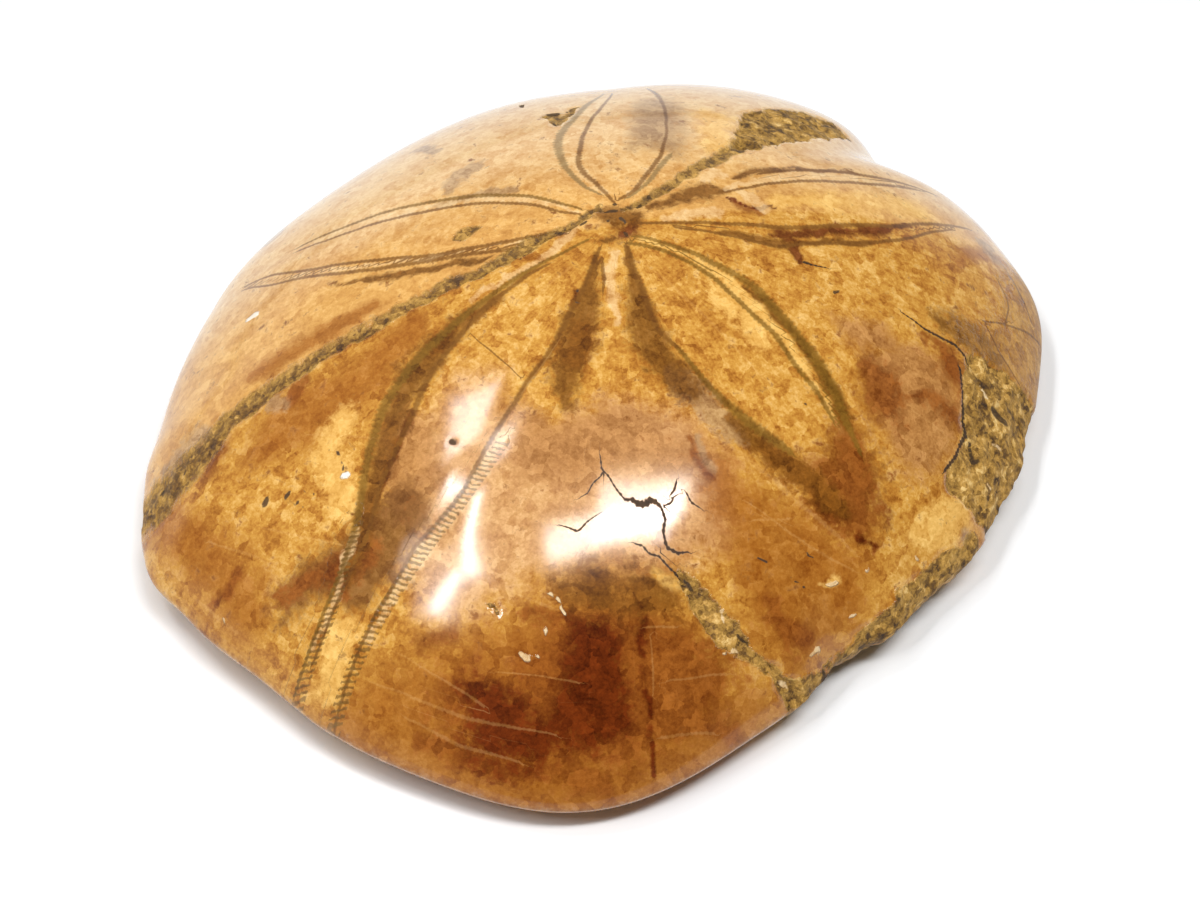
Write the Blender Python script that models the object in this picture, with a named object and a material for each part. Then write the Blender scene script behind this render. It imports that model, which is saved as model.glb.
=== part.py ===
"""Polished fossil sea urchin: one low, domed test of calcite, lying on its flattened mouth side.

Metres, +Z up. The origin is the middle of the bounding box's base, on the flat that the fossil rests on.
Marks on the dome are placed by their distance east and north of the apex, seen from above, in metres.
"""

import math

import bpy
import numpy as np
from mathutils import Vector, noise

MM = 0.001

# Overall form
HEIGHT = 24 * MM  # base to apex
MARGIN_HEIGHT = 4.6 * MM  # base to the widest line round the test
MARGIN_DIP = (268, 28, 1.4 * MM)  # where that line comes down at the front: bearing, half width, drop
UNDERCUT = 4.0 * MM  # how far the margin turns in below the widest line
MARGIN_POWER = 1.5  # under 2 makes the turn below that line sharper
APEX = (1.3 * MM, 3.3 * MM)  # where the petals meet, off the middle of the outline
CROWN_POWER = 1.95  # shape of the fall from apex to widest line
CROWN_FALL = 0.755

# Outline seen from above: an oval, with swells and dents as (bearing, half width, height)
MEAN_RADIUS = 40.1 * MM
OVAL_STRETCH = 3.1 * MM
LONG_AXIS = 48
SWELLS = (
    (15, 10, 1.2 * MM),  # right shoulder behind
    (44, 7, -3.4 * MM),  # dent at the back, where the seam leaves
    (90, 14, -1.35 * MM),
    (155, 12, 0.7 * MM),
    (193, 5, 0.8 * MM),  # left corner, where the seam ends
    (201, 5, 1.4 * MM),
    (208, 5, 1.7 * MM),
    (216, 6, 0.5 * MM),
    (228, 8, -0.7 * MM),
    (268, 16, 2.8 * MM),  # front bulge
    (292, 8, -0.4 * MM),
    (305, 7, -1.75 * MM),  # where the rim is worn away
    (320, 8, -0.8 * MM),
)
SWELL_POWER = 2.5  # the swells die out towards the apex

# The ten pore furrows, two to a petal, as points east and north of the apex in millimetres
FURROWS = (
    ((1.9, 2.3), (8.3, 4.7), (14.3, 8.5), (20.8, 11.7), (27, 14.5), (33.2, 18.1)),
    ((2.4, -0.1), (7.9, -0.1), (13.8, 0.3), (19.9, 2.6), (24.9, 5.3), (29.1, 8.8), (34.3, 13.2)),
    ((0.5, 2.9), (2.5, 5.7), (4.1, 9.1), (4.8, 13.5), (4.6, 19.5), (3.9, 26.9)),
    ((-0.7, 3), (-3.1, 5.3), (-4.4, 8.6), (-4.4, 13), (-3, 18.4), (-1.1, 24.8), (-0.2, 31)),
    ((-3.3, 1.7), (-7.6, 3.8), (-13, 5.1), (-20.1, 5.7), (-26.2, 6), (-33.4, 6.9)),
    ((-3.7, -0.4), (-8.1, -1.7), (-14.1, -2.4), (-20.1, -1.6), (-26.1, 0.5), (-31.3, 3.1), (-37.5, 6.5)),
    ((-3.5, -2.6), (-7.6, -5), (-12.6, -9.2), (-16.7, -13.7), (-19.3, -19.9), (-21.7, -27), (-26.2, -36.6)),
    ((-1.5, -3.4), (-3.1, -9), (-6.3, -15.8), (-10.1, -21.5), (-15.4, -28.4), (-21.8, -36.6)),
    ((0.7, -2.5), (1.5, -8.5), (4.1, -14.4), (8.9, -18.7), (15, -22.7), (22, -28)),
    ((1.1, -2.2), (5.4, -3.2), (9.9, -5.7), (14.4, -10), (18.2, -14.7), (22, -19.5), (26.5, -25.2)),
)
FURROW_DEPTH = 0.35 * MM
FURROW_HALF_WIDTH = 1.3 * MM

# The seam of rock that crosses the crown, as (east, north, half width) in millimetres
SEAM = (
    (-41.2, -18.8, 2.2), (-37.4, -15.7, 1.6), (-32.3, -12.6, 1.0), (-25.2, -9.4, 0.9), (-17.1, -7, 0.9),
    (-9.1, -3.2, 0.9), (-4.1, -0.8, 0.8), (-0.1, 2.3, 0.8), (4.9, 5.3, 0.8), (9.3, 9.8, 0.9),
    (12.2, 13.8, 1.4), (14.3, 17.3, 2.4), (17.3, 21.7, 3), (20.3, 25.4, 2.4),
)
SEAM_DEPTH = 0.4 * MM
# The crack at the front right, which opens towards the rim
BREAK = ((4.5, -31, 0.3), (6.6, -32.5, 0.8), (8.9, -34.1, 1.3), (11.5, -35.4, 0.8), (14.5, -36.5, 0.7))
BREAK_DEPTH = 0.9 * MM
SLOPE = 0.5 * MM  # run of the bank down from the polished skin

# Rock laid bare at the right rim, where the shell is lost, as corners in millimetres
BARE_ROCK = (
    (31.5, -4.9), (30.7, -7.7), (30.3, -11.7), (28.5, -17.2), (29, -19.5), (33, -22),
    (39, -15), (40.5, -5), (36.5, -5.3),
)
BARE_ROCK_DEPTH = 0.8 * MM
GRAIN_HEIGHT = 0.35 * MM
GRAIN_SIZE = 2.4 * MM

APICAL_PIT = (0.6, -0.4, 1.5)  # east, north, radius in millimetres
APICAL_PIT_DEPTH = 0.5 * MM

# Mouth side: a flat ring to rest on, a shallow dish inside it, and the mouth
REST_RING = 0.74  # inner edge of the flat, as a share of the base's radius
DISH_RISE = 1.8 * MM
MOUTH_RADIUS = 3.4 * MM
MOUTH_DEPTH = 3.0 * MM
MOUTH_FURROWS = (18, 88, 175, 237, 312)  # bearings of the five ambulacra
MOUTH_FURROW_DEPTH = 0.5 * MM

# Mesh
RIM_SEGMENTS = 144
HALVE_INSIDE = (13 * MM, 6 * MM)  # rings nearer the apex than this have half the segments, then a quarter
CROWN_RINGS = 32
MARGIN_RINGS = 4
PROBE = 1e-3  # step for measuring the surface's slope


def bump(bearing, middle, half_width):
    """A rise from 0 to 1 round one bearing in degrees, for bearings in radians."""
    off = (np.degrees(bearing) - middle + 180) % 360 - 180
    return np.exp(-((off / half_width) ** 2))


def oval_radius(bearing):
    return MEAN_RADIUS + OVAL_STRETCH * np.cos(2 * (bearing - math.radians(LONG_AXIS)))


def swell(bearing):
    return sum(height * bump(bearing, middle, half_width) for middle, half_width, height in SWELLS)


def margin_height(bearing):
    middle, half_width, drop = MARGIN_DIP
    return MARGIN_HEIGHT - drop * bump(bearing, middle, half_width)


def crown(bearing, share):
    """Points of the smooth dome: share runs from 0 at the apex to 1 at the widest line."""
    out = (np.cos(bearing), np.sin(bearing))
    swollen = share**SWELL_POWER * swell(bearing)
    east, north = [a + share * (oval_radius(bearing) * o - a) + swollen * o for a, o in zip(APEX, out)]
    low = margin_height(bearing)
    fall = np.clip(1 - share**CROWN_POWER, 0, 1) ** CROWN_FALL
    return np.array([east, north, low + (HEIGHT - low) * fall])


def margin(bearing, turn):
    """Points below the widest line: turn runs from 0 there to 1 where the margin meets the base."""
    angle = turn * math.pi / 2
    inward = UNDERCUT * (1 - np.cos(angle) ** (2 / MARGIN_POWER))
    radius = oval_radius(bearing) + swell(bearing) - inward
    height = margin_height(bearing) * (1 - np.sin(angle) ** (2 / MARGIN_POWER))
    return np.array([radius * np.cos(bearing), radius * np.sin(bearing), height])


def even_shares(count):
    """Shares from apex to widest line, spaced evenly along the surface."""
    shares = 1 - np.linspace(1, 0, 1000) ** 3
    steps = np.diff(crown(np.zeros(1000), shares), axis=1)
    length = np.concatenate([[0], np.cumsum(np.linalg.norm(steps, axis=0))])
    return np.interp(np.linspace(0, length[-1], count + 1)[1:], length, shares)


def smoothstep(low, high, value):
    t = np.clip((value - low) / (high - low), 0, 1)
    return t * t * (3 - 2 * t)


def along_path(east, north, path):
    """Distance to a path of straight runs, less the half width there if the path's points give one."""
    nearest = np.full(east.shape, 1.0)
    points = [tuple(value * MM for value in point) for point in path]
    for start, end in zip(points, points[1:]):
        run = (end[0] - start[0], end[1] - start[1])
        t = ((east - start[0]) * run[0] + (north - start[1]) * run[1]) / (run[0] ** 2 + run[1] ** 2)
        t = np.clip(t, 0, 1)
        away = np.hypot(east - start[0] - t * run[0], north - start[1] - t * run[1])
        if len(start) == 3:
            away = away - (start[2] + t * (end[2] - start[2]))
        nearest = np.minimum(nearest, away)
    return nearest


def inside_outline(east, north, corners):
    """Distance inside a closed outline, negative outside."""
    corners = [(x * MM, y * MM) for x, y in corners]
    closed = [*corners, corners[0]]
    away = along_path(east, north, [(x / MM, y / MM) for x, y in closed])
    inside = np.zeros(east.shape, bool)
    for (x0, y0), (x1, y1) in zip(closed, closed[1:]):
        crosses = (y0 > north) != (y1 > north)
        inside ^= crosses & (east < (x1 - x0) * (north - y0) / (y1 - y0) + x0) if y1 != y0 else False
    return np.where(inside, away, -away)


def grain(points):
    """Lumps of the bare rock, from -1 to 1."""
    return np.array([noise.noise(Vector(point) / GRAIN_SIZE) for point in points.T])


def crown_relief(points):
    """How far the real surface stands out from the smooth dome."""
    east, north = points[0] - APEX[0], points[1] - APEX[1]
    furrow = np.min([along_path(east, north, path) for path in FURROWS], axis=0)
    relief = -FURROW_DEPTH * np.exp(-((furrow / FURROW_HALF_WIDTH) ** 2))
    relief -= SEAM_DEPTH * smoothstep(SLOPE, -SLOPE, along_path(east, north, SEAM))
    relief -= BREAK_DEPTH * smoothstep(SLOPE, -SLOPE, along_path(east, north, BREAK))
    bare = smoothstep(-SLOPE, SLOPE, inside_outline(east, north, BARE_ROCK))
    relief += bare * (GRAIN_HEIGHT * grain(points) - BARE_ROCK_DEPTH)
    pit_east, pit_north, pit_radius = (value * MM for value in APICAL_PIT)
    pit = np.hypot(east - pit_east, north - pit_north) / pit_radius
    return relief - APICAL_PIT_DEPTH * np.exp(-(pit**2))


def with_relief(surface, bearing, place):
    """Points of a smooth surface moved along its normal by the relief."""
    points = surface(bearing, place)
    along_ring = surface(bearing + PROBE, place) - surface(bearing - PROBE, place)
    down = surface(bearing, min(place + PROBE, 1)) - surface(bearing, max(place - PROBE, 0))
    normal = np.cross(down.T, along_ring.T).T
    normal /= np.linalg.norm(normal, axis=0)
    fade = 1.0 if surface is crown else smoothstep(1, 0.3, place)
    return points + normal * fade * crown_relief(points)


def base_ring(bearing, share):
    """Points of the mouth side, from share 1 at its edge to 0 at the mouth's middle."""
    edge = margin(bearing, 1.0)
    radius = share * np.hypot(edge[0], edge[1])
    dish = smoothstep(REST_RING, 0.25, share)
    ambulacra = np.max([np.cos(bearing - math.radians(b)) ** 40 * (np.cos(bearing - math.radians(b)) > 0)
                        for b in MOUTH_FURROWS], axis=0)
    mouth = MOUTH_DEPTH * smoothstep(1.5 * MOUTH_RADIUS, 0.6 * MOUTH_RADIUS, radius)
    ambulacra = ambulacra * smoothstep(0, 2 * MOUTH_RADIUS, radius)
    rise = dish * (DISH_RISE + MOUTH_FURROW_DEPTH * ambulacra) + mouth
    return np.array([share * edge[0], share * edge[1], rise])


def bearings(count):
    return np.arange(count) * 2 * math.pi / count


def ring_segments(share):
    """Segments of a crown ring: fewer near the apex, where the rings are short."""
    return RIM_SEGMENTS // 2 ** sum(share * MEAN_RADIUS < limit for limit in HALVE_INSIDE)


def all_rings():
    """Rings from the one round the apex, over the margin, to the one round the mouth's middle."""
    rings = [with_relief(crown, bearings(ring_segments(s)), s) for s in even_shares(CROWN_RINGS)]
    turns = np.arange(1, MARGIN_RINGS + 1) / MARGIN_RINGS
    rings += [with_relief(margin, bearings(RIM_SEGMENTS), turn) for turn in turns]
    rings += [base_ring(bearings(RIM_SEGMENTS), 0.97)]
    rings += [base_ring(bearings(RIM_SEGMENTS // 2), share) for share in (0.86, REST_RING, 0.55, 0.38)]
    rings += [base_ring(bearings(RIM_SEGMENTS // 4), share) for share in (0.24, 0.15, 0.08)]
    return rings


def join_rings(upper, lower):
    """Faces between two rings of vertex numbers with the same count, or with one twice the other."""
    faces = []
    if len(upper) == len(lower):
        for i in range(len(upper)):
            j = (i + 1) % len(upper)
            faces.append((upper[i], lower[i], lower[j], upper[j]))
        return faces
    few, many = sorted((upper, lower), key=len)
    for i in range(len(few)):
        j = (i + 1) % len(few)
        a, b, c = many[2 * i], many[2 * i + 1], many[(2 * i + 2) % len(many)]
        fan = [(few[i], a, b), (few[i], b, few[j]), (few[j], b, c)]
        faces += fan if few is upper else [face[::-1] for face in fan]
    return faces


def stone_material():
    """Polished amber calcite."""
    material = bpy.data.materials.new("polished_calcite")
    material.use_nodes = True
    shader = material.node_tree.nodes["Principled BSDF"]
    shader.inputs["Base Color"].default_value = (0.56, 0.27, 0.07, 1)
    shader.inputs["Roughness"].default_value = 0.15
    shader.inputs["Metallic"].default_value = 0.0
    return material


def build_fossil():
    rings = all_rings()
    apex = with_relief(crown, np.array([0.0]), PROBE)[:, 0]
    mouth = base_ring(np.array([0.0]), 1e-4)[:, 0]
    points = np.concatenate([apex[:, None], *rings, mouth[:, None]], axis=1)
    low, high = points.min(axis=1), points.max(axis=1)
    points -= np.array([(low[0] + high[0]) / 2, (low[1] + high[1]) / 2, 0])[:, None]

    starts = np.cumsum([1] + [ring.shape[1] for ring in rings])
    numbers = [list(range(starts[i], starts[i + 1])) for i in range(len(rings))]
    first, last, tip = numbers[0], numbers[-1], points.shape[1] - 1
    faces = [(0, first[i], first[(i + 1) % len(first)]) for i in range(len(first))]
    for upper, lower in zip(numbers, numbers[1:]):
        faces += join_rings(upper, lower)
    faces += [(tip, last[(i + 1) % len(last)], last[i]) for i in range(len(last))]

    mesh = bpy.data.meshes.new("fossil_sea_urchin")
    mesh.from_pydata(points.T.tolist(), [], faces)
    mesh.shade_smooth()
    mesh.materials.append(stone_material())
    fossil = bpy.data.objects.new("fossil_sea_urchin", mesh)
    bpy.context.scene.collection.objects.link(fossil)


for old in list(bpy.data.objects):
    bpy.data.objects.remove(old)
build_fossil()
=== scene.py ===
import math

import bpy
import numpy as np
from mathutils import Matrix, Vector, noise


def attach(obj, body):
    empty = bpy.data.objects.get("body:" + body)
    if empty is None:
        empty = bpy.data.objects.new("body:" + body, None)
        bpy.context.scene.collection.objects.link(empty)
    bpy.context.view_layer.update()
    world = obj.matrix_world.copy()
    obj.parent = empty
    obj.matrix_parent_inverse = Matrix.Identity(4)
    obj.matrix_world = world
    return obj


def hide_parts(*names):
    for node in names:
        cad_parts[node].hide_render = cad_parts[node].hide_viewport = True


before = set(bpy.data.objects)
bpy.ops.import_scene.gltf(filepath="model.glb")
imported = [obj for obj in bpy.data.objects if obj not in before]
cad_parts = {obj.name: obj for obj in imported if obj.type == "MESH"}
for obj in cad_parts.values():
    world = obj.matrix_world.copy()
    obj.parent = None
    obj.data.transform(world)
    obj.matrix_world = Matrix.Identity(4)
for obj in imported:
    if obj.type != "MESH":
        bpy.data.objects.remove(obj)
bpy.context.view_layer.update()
mm = 0.001


def linear(hexColour):
    parts = [int(hexColour[i:i + 2], 16) / 255 for i in (1, 3, 5)]
    return (*[c / 12.92 if c <= 0.04045 else ((c + 0.055) / 1.055) ** 2.4 for c in parts], 1.0)


def addNode(tree, kind, settings=None, links=None):
    node = tree.nodes.new("ShaderNode" + kind)
    for name, value in (settings or {}).items():
        if isinstance(name, str) and hasattr(node, name):
            setattr(node, name, value)
        else:
            node.inputs[name].default_value = value
    for name, socket in (links or {}).items():
        tree.links.new(socket, node.inputs[name])
    return node


def smoothstep(low, high, value):
    t = np.clip((value - low) / (high - low), 0, 1)
    return t * t * (3 - 2 * t)


def noiseAt(places, size, octaves=3, shift=0.0):
    # lumps about as wide as size, from -1 to 1, each octave half as wide as the one before
    offset = Vector((shift, -shift, 2 * shift))
    fading, narrowing = 0.8, 2.0
    return np.array([noise.fractal(Vector(p) / size + offset, fading, narrowing, octaves) for p in places])


# The form, in millimetres and degrees
form = {
    "height": 23.94,  # base to apex
    "marginHeight": 4.6,  # base to the widest line round the test
    "marginDip": (268, 28, 1.4),  # where that line comes down at the front: bearing, half width, drop
    "undercut": 4.0,  # how far the margin turns in below that line
    "marginPower": 1.5,
    "apex": (1.3, 3.3),  # where the petals meet, off the middle of the outline
    "crownPower": 1.95,
    "crownFall": 0.755,
    "meanRadius": 40.08,
    "ovalStretch": 3.1,
    "longAxis": 48,
    # swells and dents of the outline: bearing, half width, height
    "swells": [
        (15, 10, 1.2), (44, 7, -3.4), (90, 14, -1.35), (155, 12, 0.7), (193, 5, 0.8), (201, 5, 1.4),
        (208, 5, 1.7), (216, 6, 0.5), (228, 8, -0.7), (268, 16, 2.8), (292, 8, -0.4), (305, 7, -1.75),
        (320, 8, -0.8),
    ],
    "swellPower": 2.5,  # the swells die out towards the apex
    "restRing": 0.74,  # inner edge of the flat it rests on, as a share of the base's radius
    "dishRise": 1.8,
    "mouthRadius": 3.4,
    "mouthDepth": 3.0,
    "mouthFurrows": (18, 88, 175, 237, 312),
    "mouthFurrowDepth": 0.5,
    "rimSegments": 640,
    "crownStep": 0.31,
    "crownHalvings": (20, 10, 5, 2.5, 1.2),  # nearer the apex than each, a ring has half the segments
    "marginRings": 20,
    "baseStep": 0.9,
    "baseHalvings": (18, 9, 4),  # the same round the mouth
    "baseTip": 0.4,  # no rings nearer the middle of the mouth
}


def bump(bearing, middle, halfWidth):
    off = (np.degrees(bearing) - middle + 180) % 360 - 180
    return np.exp(-((off / halfWidth) ** 2))


def ovalRadius(bearing):
    return form["meanRadius"] + form["ovalStretch"] * np.cos(2 * (bearing - math.radians(form["longAxis"])))


def swellAt(bearing):
    return sum(height * bump(bearing, middle, halfWidth) for middle, halfWidth, height in form["swells"])


def marginHeight(bearing):
    middle, halfWidth, drop = form["marginDip"]
    return form["marginHeight"] - drop * bump(bearing, middle, halfWidth)


def crown(bearing, share):
    # share runs from 0 at the apex to 1 at the widest line
    out = (np.cos(bearing), np.sin(bearing))
    swell = share ** form["swellPower"] * swellAt(bearing)
    east, north = [a + share * (ovalRadius(bearing) * o - a) + swell * o for a, o in zip(form["apex"], out)]
    low = marginHeight(bearing)
    fall = np.clip(1 - share ** form["crownPower"], 0, 1) ** form["crownFall"]
    return np.array([east, north, low + (form["height"] - low) * fall])


def margin(bearing, turn):
    # turn runs from 0 at the widest line to 1 at the base
    angle = turn * math.pi / 2
    power = 2 / form["marginPower"]
    radius = ovalRadius(bearing) + swellAt(bearing) - form["undercut"] * (1 - np.cos(angle) ** power)
    height = marginHeight(bearing) * (1 - np.sin(angle) ** power)
    return np.array([radius * np.cos(bearing), radius * np.sin(bearing), height])


def mouthSide(bearing, share):
    # share runs from 1 at the base's edge to 0 at the middle of the mouth
    edge = margin(bearing, 1.0)
    radius = share * np.hypot(edge[0], edge[1])
    turns = [bearing - math.radians(b) for b in form["mouthFurrows"]]
    furrow = np.max([np.clip(np.cos(t), 0, 1) ** 40 for t in turns], axis=0)
    furrow = furrow * smoothstep(0, 2 * form["mouthRadius"], radius)
    mouth = form["mouthDepth"] * smoothstep(1.5 * form["mouthRadius"], 0.6 * form["mouthRadius"], radius)
    dish = smoothstep(form["restRing"], 0.25, share)
    rise = dish * (form["dishRise"] + form["mouthFurrowDepth"] * furrow) + mouth
    return np.array([share * edge[0], share * edge[1], rise])


def bearingsOf(count):
    return np.arange(count) * 2 * math.pi / count


def evenShares(step):
    # shares that part the crown's section, from apex to margin, into steps of equal length
    shares = 1 - np.linspace(1, 0, 2000) ** 3
    section = crown(np.zeros(2000), shares)
    length = np.concatenate([[0], np.cumsum(np.linalg.norm(np.diff(section, axis=1), axis=0))])
    count = round(length[-1] / step)
    return np.interp(np.linspace(0, length[-1], count + 1)[1:], length, shares)


def ringOf(surface, place, segments):
    # points and outward normals of one ring
    bearing = bearingsOf(segments)
    step = 1e-4
    ring = surface(bearing, place)
    across = surface(bearing + step, place) - surface(bearing - step, place)
    down = surface(bearing, min(place + step, 1)) - surface(bearing, max(place - step, 0))
    normal = np.cross(down.T, across.T)
    return ring.T, normal / np.linalg.norm(normal, axis=1)[:, None], bearing


def buildRings():
    # each ring: points, normals, and plan coordinates from the apex, which run on past the widest line
    rings = []
    apex = np.array(form["apex"])
    for share in evenShares(form["crownStep"]):
        halved = sum(share * form["meanRadius"] < limit for limit in form["crownHalvings"])
        ring, normal, bearing = ringOf(crown, share, form["rimSegments"] // 2 ** halved)
        rings.append((ring, normal, ring[:, :2] - apex))
    reach = math.hypot(form["marginHeight"], form["undercut"])
    for turn in np.arange(1, form["marginRings"] + 1) / form["marginRings"]:
        ring, normal, bearing = ringOf(margin, turn, form["rimSegments"])
        outward = np.array([np.cos(bearing), np.sin(bearing)]).T
        widest = margin(bearing, 0.0)[:2].T - apex
        rings.append((ring, normal, widest + outward * turn * reach))
    edge = form["meanRadius"] - form["undercut"]
    step = form["baseStep"] / edge
    for share in np.arange(1 - 0.5 * step, form["baseTip"] / edge, -step):
        halved = sum(share * edge < limit for limit in (edge - 1, *form["baseHalvings"]))
        ring, normal, bearing = ringOf(mouthSide, share, form["rimSegments"] // 2 ** halved)
        outward = np.array([np.cos(bearing), np.sin(bearing)]).T
        widest = margin(bearing, 0.0)[:2].T - apex
        down = np.tile([0, 0, -1.0], (len(ring), 1))
        rings.append((ring, down, widest + outward * (reach + edge * (1 - share))))
    return rings


def joinRings(upper, lower):
    if len(upper) == len(lower):
        after = np.roll(np.arange(len(upper)), -1)
        return [(upper[i], lower[i], lower[j], upper[j]) for i, j in enumerate(after)]
    few, many = sorted((upper, lower), key=len)
    joined = []
    for i in range(len(few)):
        j = (i + 1) % len(few)
        a, b, c = many[2 * i], many[2 * i + 1], many[(2 * i + 2) % len(many)]
        fan = [(few[i], a, b), (few[i], b, few[j]), (few[j], b, c)]
        joined += fan if few is upper else [face[::-1] for face in fan]
    return joined


rings = buildRings()
top, bottom = np.array([[*form["apex"], form["height"]]]), mouthSide(np.array([0.0]), 1e-4).T
markless = [200.0, 200.0]  # a plan place that no mark reaches
points = np.concatenate([top, *[r[0] for r in rings], bottom])
normals = np.concatenate([[[0, 0, 1.0]], *[r[1] for r in rings], [[0, 0, -1.0]]])
plan = np.concatenate([[[0, 0]], *[r[2] for r in rings], [markless]])
starts = np.cumsum([1] + [len(r[0]) for r in rings])
numbers = [list(range(starts[i], starts[i + 1])) for i in range(len(rings))]
first, last = numbers[0], numbers[-1]
faces = [(0, first[i], first[(i + 1) % len(first)]) for i in range(len(first))]
for upper, lower in zip(numbers, numbers[1:]):
    faces += joinRings(upper, lower)
faces += [(len(points) - 1, last[(i + 1) % len(last)], last[i]) for i in range(len(last))]
print("form:", len(points), "points,", sum(len(f) - 2 for f in faces), "triangles")


# Marks lie on the test as seen from above.
# A run is a list of (east, north, half width), in millimetres from the apex.
def smoothRun(run, step=0.5):
    knots = np.array(run, float)
    if len(knots) == 1:
        return np.array([knots[0], knots[0] + [0.01, 0, 0]])
    ends = np.vstack([2 * knots[0] - knots[1], knots, 2 * knots[-1] - knots[-2]])
    places = []
    for a, b, c, d in zip(ends, ends[1:], ends[2:], ends[3:]):
        count = max(1, round(np.linalg.norm((c - b)[:2]) / step))
        for t in np.arange(count) / count:
            bend = (2 * a - 5 * b + 4 * c - d) * t * t + (3 * b - a - 3 * c + d) * t ** 3
            places.append(0.5 * (2 * b + (c - a) * t + bend))
    return np.array([*places, knots[-1]])


def toRun(places, run, reach):
    # for the places within reach: their numbers, signed distance, distance along, and the run's half width
    low, high = run[:, :2].min(axis=0) - reach, run[:, :2].max(axis=0) + reach
    near = np.nonzero(np.all((places >= low) & (places <= high), axis=1))[0]
    here = places[near]
    away, side, along, width = [np.full(len(near), value) for value in (1e6, 1.0, 0.0, 1.0)]
    travelled = 0.0
    for start, end in zip(run, run[1:]):
        leg = end[:2] - start[:2]
        length = np.hypot(*leg)
        offset = here - start[:2]
        t = np.clip(offset @ leg / length ** 2, 0, 1)
        gap = np.hypot(*(offset - t[:, None] * leg).T)
        closer = gap < away
        away[closer] = gap[closer]
        side[closer] = np.where(leg[0] * offset[:, 1] > leg[1] * offset[:, 0], 1, -1)[closer]
        along[closer] = (travelled + t * length)[closer]
        width[closer] = (start[2] + t * (end[2] - start[2]))[closer]
        travelled += length
    thinnest = 0.02
    return near, side * away, along, np.maximum(width, thinnest)


def wobble(size, amount, shift):
    # the plan places, moved a little so that edges waver
    moves = [noiseAt(points, size, 3, shift), noiseAt(points, size, 3, shift + 7.3)]
    return plan + amount * np.array(moves).T


def lineField(runs, places, teeth, straight=False):
    # signed distance over half width, which grows steeply past the line: no false line shows between two
    farOff, reach, flank, steepness = 60.0, 2.0, 0.4, 40
    field = np.full(len(places), farOff)
    for run in runs:
        run = np.array(run, float) if straight else smoothRun(run)
        near, signed, along, width = toRun(places, run, reach)
        past = np.clip(np.abs(signed) - width - flank, 0, None)
        ratio = np.clip(signed / width + np.sign(signed) * past * steepness, -farOff, farOff)
        nearer = np.abs(ratio) < np.abs(field[near])
        field[near[nearer]] = ratio[nearer]
        nearest = np.abs(signed) < teeth["away"][near]
        teeth["away"][near[nearest]] = np.abs(signed[nearest])
        teeth["along"][near[nearest]] = along[nearest]
    return field


def patchField(runs, places):
    # 1 on the run, 0.5 at its half width, 0 at twice that
    field = np.zeros(len(places))
    for run in runs:
        run = smoothRun(run)
        near, signed, along, width = toRun(places, run, 2 * run[:, 2].max())
        field[near] = np.maximum(field[near], 1 - np.abs(signed) / width / 2)
    return field


def insideField(corners, places, blur):
    # above 0.5 inside a closed outline, falling from 1 to 0 over the blur each side of it
    closed = np.array([[x, y, 1] for x, y in [*corners, corners[0]]], float)
    near, signed, along, width = toRun(places, closed, 2 * blur)
    inside = np.zeros(len(near), bool)
    for (x0, y0), (x1, y1) in zip(closed[:, :2], closed[1:, :2]):
        if y0 != y1:
            across = (x1 - x0) * (places[near, 1] - y0) / (y1 - y0) + x0
            inside ^= ((y0 > places[near, 1]) != (y1 > places[near, 1])) & (places[near, 0] < across)
    field = np.zeros(len(places))
    field[near] = np.clip(0.5 + np.where(inside, 1, -1) * np.abs(signed) / blur / 2, 0, 1)
    return field


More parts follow.
